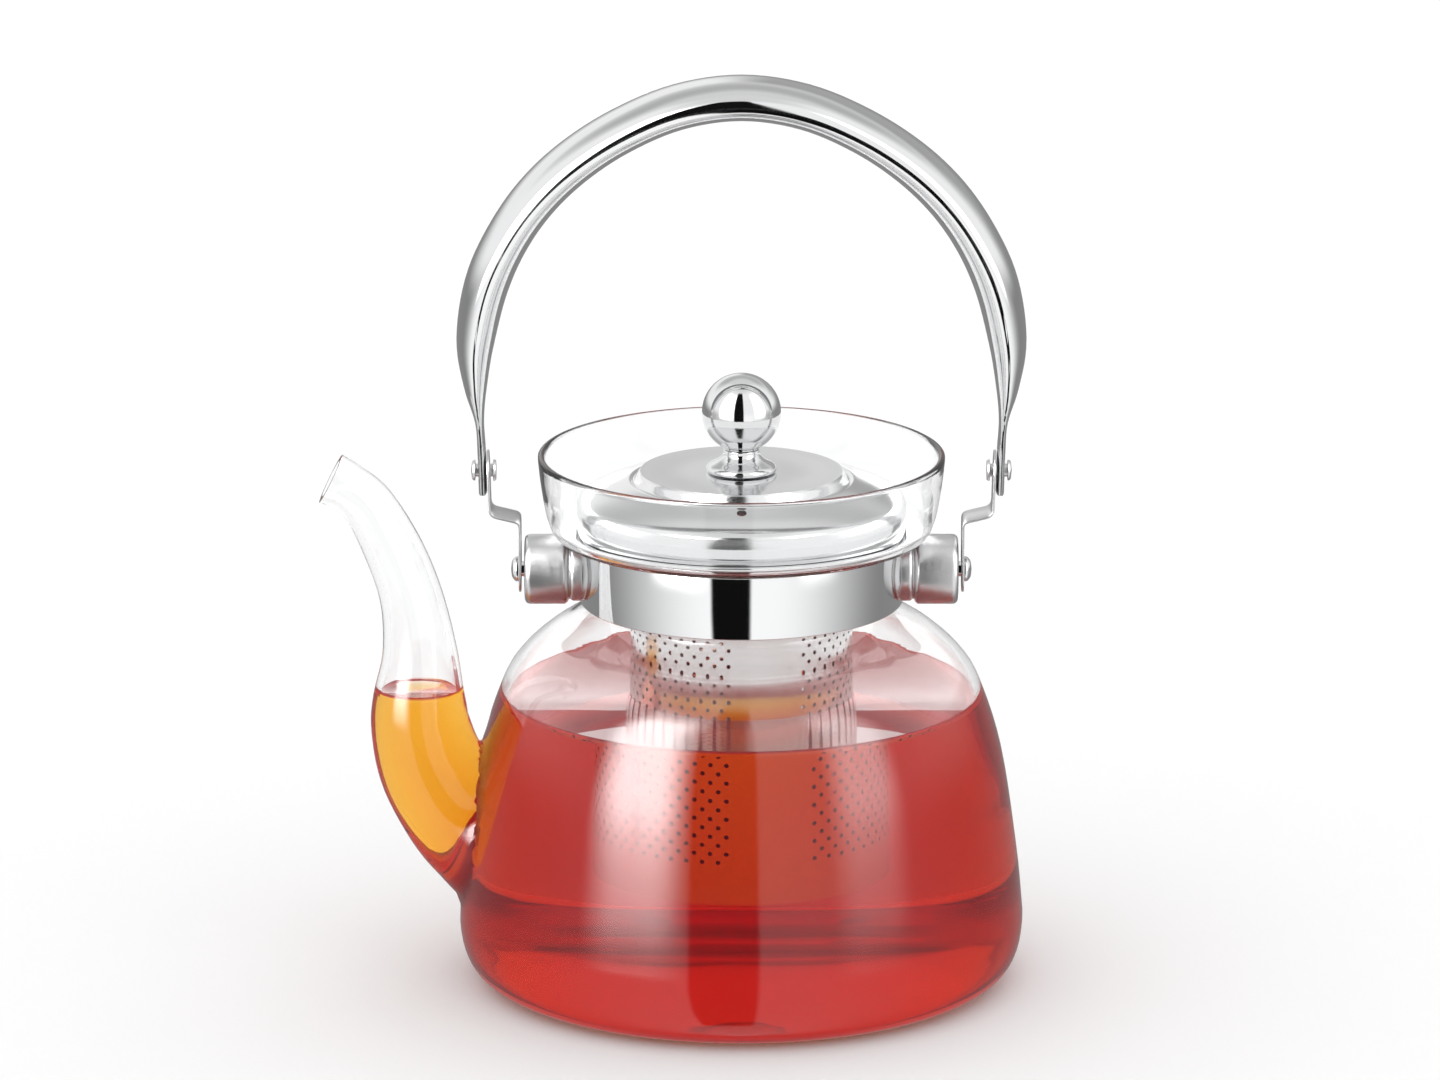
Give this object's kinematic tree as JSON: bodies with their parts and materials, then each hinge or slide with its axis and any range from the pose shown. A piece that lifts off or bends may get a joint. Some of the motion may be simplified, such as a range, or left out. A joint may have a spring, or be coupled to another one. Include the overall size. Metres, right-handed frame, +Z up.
{
  "type": "glass teapot",
  "caption": "Round glass teapot with a swan-neck spout, steel neck band, swinging bail handle, lift-out strainer basket and domed lid, for steeping and pouring tea.",
  "frame": {"origin": "middle of the flat glass base, on the surface that the pot stands on", "axes": "+Z up along the pot's turned axis, the spout points to -X, the bail swings about an axis along X"},
  "size_m": [0.1858, 0.149, 0.2412],
  "materials": {
    "clear_glass": "clear borosilicate glass",
    "polished_steel": "mirror-polished stainless steel",
    "strap_steel": "plain satin stainless steel",
    "perforated_steel": "bright perforated stainless sheet",
    "silicone": "translucent silicone",
    "tea": "clear black tea"
  },
  "bodies": {
    "pot": {"glass_body": "clear_glass", "glass_spout": "clear_glass", "band_liner": "silicone", "neck_band": "polished_steel", "lug_left": "strap_steel", "lug_right": "strap_steel", "pivot_screw_left": "polished_steel", "pivot_screw_right": "polished_steel"},
    "bail": {"bail_strap_left": "strap_steel", "bail_strap_right": "strap_steel", "handle_rivet_left": "strap_steel", "handle_rivet_right": "strap_steel", "handle_outer_half": "polished_steel", "handle_inner_half": "polished_steel"},
    "infuser": {"infuser_flange": "polished_steel", "infuser_wall": "perforated_steel", "infuser_base": "perforated_steel"},
    "lid": {"lid_dome": "polished_steel", "lid_liner": "polished_steel", "knob_collar": "polished_steel", "knob_ball": "polished_steel", "knob_screw": "strap_steel", "knob_washer": "strap_steel"}
  },
  "joints": [
    {"name": "bail_swing", "type": "hinge", "parent": "pot", "child": "bail", "pos_m": [0, 0, 0.1098], "axis": [1, 0, 0], "range_deg": [-130, 130]},
    {"name": "infuser_lift", "type": "slide", "parent": "pot", "child": "infuser", "axis": [0, 0, 1], "range_m": [0, 0.055]},
    {"name": "lid_lift", "type": "slide", "parent": "infuser", "child": "lid", "axis": [0, 0, 1], "range_m": [0, 0.055]}
  ]
}
